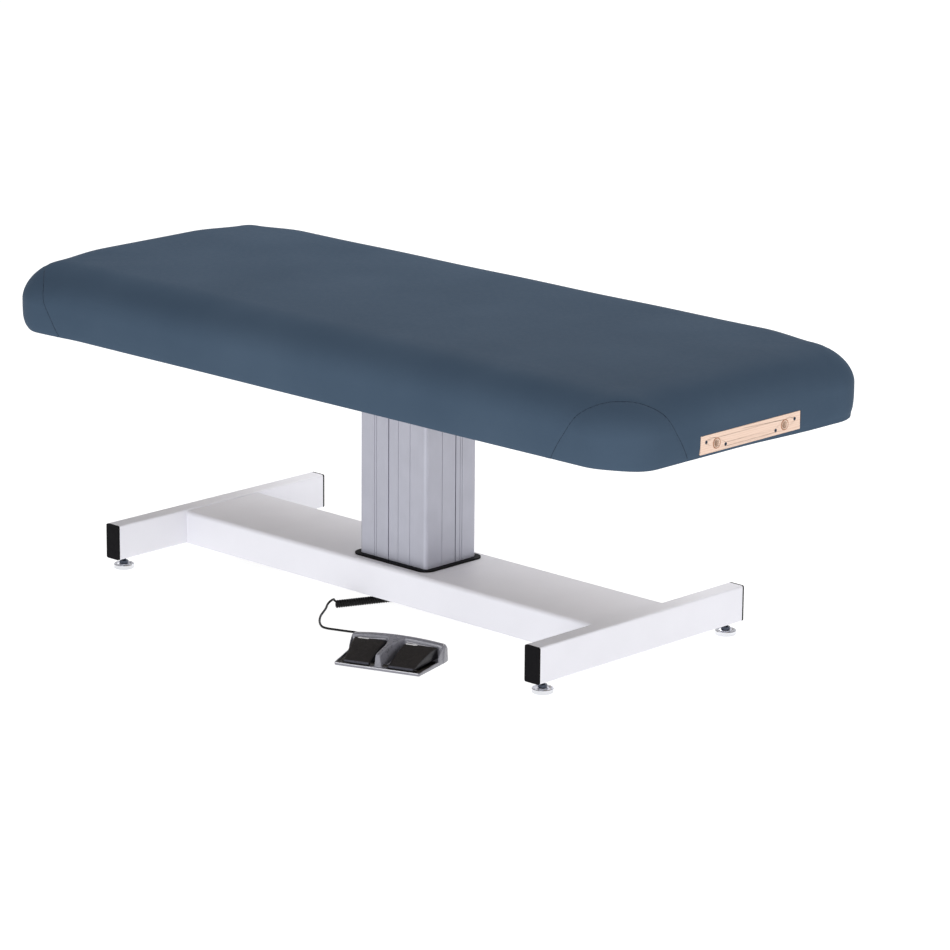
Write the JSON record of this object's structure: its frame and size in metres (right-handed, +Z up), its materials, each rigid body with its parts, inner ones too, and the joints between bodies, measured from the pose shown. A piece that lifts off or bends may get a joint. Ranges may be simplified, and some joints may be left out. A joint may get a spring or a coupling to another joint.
{
  "type": "massage table",
  "caption": "Padded massage table on an electric lift column with an H-shaped base, levelling feet, face-rest sockets and a corded two-pedal foot switch.",
  "frame": {"origin": "on the floor, under the middle of the lift column, with the table at its lowest height", "axes": "+X along the table towards the head end with the wooden plate, +Y away from the side where the foot switch lies, +Z up"},
  "size_m": [1.854, 0.8357, 0.6712],
  "materials": {
    "vinyl_slate": "satin",
    "cushion_foam": "matte",
    "plywood": "matte",
    "plate_wood": "satin",
    "white_paint": "satin",
    "frame_paint": "satin",
    "anodised_aluminium": "satin",
    "black_plastic": "satin",
    "chrome_pads": "polished",
    "dark_steel": "satin",
    "bright_steel": "satin",
    "liner_nylon": "satin",
    "bronze": "satin",
    "cast_aluminium": "matte",
    "motor_paint": "satin",
    "glide_plastic": "satin",
    "board_green": "gloss",
    "switch_grey": "satin",
    "pedal_black": "matte",
    "black_rubber": "matte",
    "cord_black": "satin"
  },
  "bodies": {
    "base": {"foot_bar_left": "white_paint", "foot_bar_right": "white_paint", "bar_end_caps": "black_plastic", "leveler_inserts": "bright_steel", "base_cover": "white_paint", "base_rails": "frame_paint", "column_foot_plate": "frame_paint", "column_foot_screws": "dark_steel", "column_collar": "black_plastic", "column_outer_tube": "anodised_aluminium", "column_top_trim": "black_plastic", "gearbox_housing": "cast_aluminium", "gearbox_lid": "cast_aluminium", "spindle_bearing": "bright_steel", "drive_motor": "motor_paint", "control_box": "black_plastic", "control_board": "board_green", "cord_gland": "black_plastic", "motor_cable": "cord_black", "switch_feet": "black_rubber", "switch_base_plate": "bright_steel", "switch_housing": "switch_grey", "pedal_axle": "bright_steel", "pedal_springs": "bright_steel", "micro_switches": "black_plastic", "cord_relief": "black_plastic", "cord_lead": "cord_black", "cord_curl": "cord_black", "cord_tail": "cord_black"},
    "tabletop": {"column_inner_tube": "anodised_aluminium", "glide_pads": "glide_plastic", "nut_plate": "frame_paint", "spindle_nut": "bronze", "column_head_plate": "frame_paint", "head_screws": "dark_steel", "support_arms": "frame_paint", "deck_screws": "dark_steel", "deck_panel": "plywood", "deck_side_rails": "plywood", "deck_end_rails": "plywood", "deck_corner_blocks": "plywood", "end_plate": "plate_wood", "socket_liners": "liner_nylon", "end_plate_screws": "dark_steel", "side_padding": "vinyl_slate", "foam_core": "cushion_foam", "cushion": "vinyl_slate"},
    "spindle": {"lift_spindle": "bright_steel", "worm_wheel": "bronze"},
    "worm": {"worm_shaft": "bright_steel"},
    "left_pedal": {"pedal_left": "pedal_black"},
    "right_pedal": {"pedal_right": "pedal_black"},
    "foot_pad_1": {"leveler_pad_1": "chrome_pads"},
    "foot_stud_1": {"leveler_stud_1": "dark_steel"},
    "foot_pad_2": {"leveler_pad_2": "chrome_pads"},
    "foot_stud_2": {"leveler_stud_2": "dark_steel"},
    "foot_pad_3": {"leveler_pad_3": "chrome_pads"},
    "foot_stud_3": {"leveler_stud_3": "dark_steel"},
    "foot_pad_4": {"leveler_pad_4": "chrome_pads"},
    "foot_stud_4": {"leveler_stud_4": "dark_steel"}
  },
  "joints": [
    {"name": "lift", "type": "slide", "parent": "base", "child": "tabletop", "axis": [0, 0, 1], "range_m": [0, 0.254]},
    {"name": "spindle_turn", "type": "hinge", "parent": "base", "child": "spindle", "pos_m": [-0.047, 0, 0.066], "axis": [0, 0, -1], "range_deg": [0, 11431]},
    {"name": "worm_turn", "type": "hinge", "parent": "base", "child": "worm", "pos_m": [-0.047, 0.0324, 0.06602], "axis": [1, 0, 0], "range_deg": [0, 228620]},
    {"name": "left_pedal_press", "type": "hinge", "parent": "base", "child": "left_pedal", "pos_m": [0.29542, -0.4111, 0.009], "axis": [-0.9397, -0.342, 0], "range_deg": [0, 4], "stiffness_Nm_per_rad": 2, "springref_deg": -9.74},
    {"name": "right_pedal_press", "type": "hinge", "parent": "base", "child": "right_pedal", "pos_m": [0.29542, -0.4111, 0.009], "axis": [-0.9397, -0.342, 0], "range_deg": [0, 4], "stiffness_Nm_per_rad": 2, "springref_deg": -9.74},
    {"name": "level_1", "type": "slide", "parent": "base", "child": "foot_pad_1", "axis": [0, 0, -1], "range_m": [0, 0.012]},
    {"name": "level_turn_1", "type": "hinge", "parent": "foot_pad_1", "child": "foot_stud_1", "pos_m": [-0.633, -0.283, 0.02], "axis": [0, 0, -1], "range_deg": [0, 2881]},
    {"name": "level_2", "type": "slide", "parent": "base", "child": "foot_pad_2", "axis": [0, 0, -1], "range_m": [0, 0.012]},
    {"name": "level_turn_2", "type": "hinge", "parent": "foot_pad_2", "child": "foot_stud_2", "pos_m": [0.633, -0.283, 0.02], "axis": [0, 0, -1], "range_deg": [0, 2881]},
    {"name": "level_3", "type": "slide", "parent": "base", "child": "foot_pad_3", "axis": [0, 0, -1], "range_m": [0, 0.012]},
    {"name": "level_turn_3", "type": "hinge", "parent": "foot_pad_3", "child": "foot_stud_3", "pos_m": [-0.633, 0.283, 0.02], "axis": [0, 0, -1], "range_deg": [0, 2881]},
    {"name": "level_4", "type": "slide", "parent": "base", "child": "foot_pad_4", "axis": [0, 0, -1], "range_m": [0, 0.012]},
    {"name": "level_turn_4", "type": "hinge", "parent": "foot_pad_4", "child": "foot_stud_4", "pos_m": [0.633, 0.283, 0.02], "axis": [0, 0, -1], "range_deg": [0, 2881]}
  ],
  "couplings": [
    {"joint": "spindle_turn", "follows": "lift", "rad_per_m": 785.4},
    {"joint": "worm_turn", "follows": "lift", "rad_per_m": 15708},
    {"joint": "level_turn_1", "follows": "level_1", "rad_per_m": 4188.8},
    {"joint": "level_turn_2", "follows": "level_2", "rad_per_m": 4188.8},
    {"joint": "level_turn_3", "follows": "level_3", "rad_per_m": 4188.8},
    {"joint": "level_turn_4", "follows": "level_4", "rad_per_m": 4188.8}
  ]
}
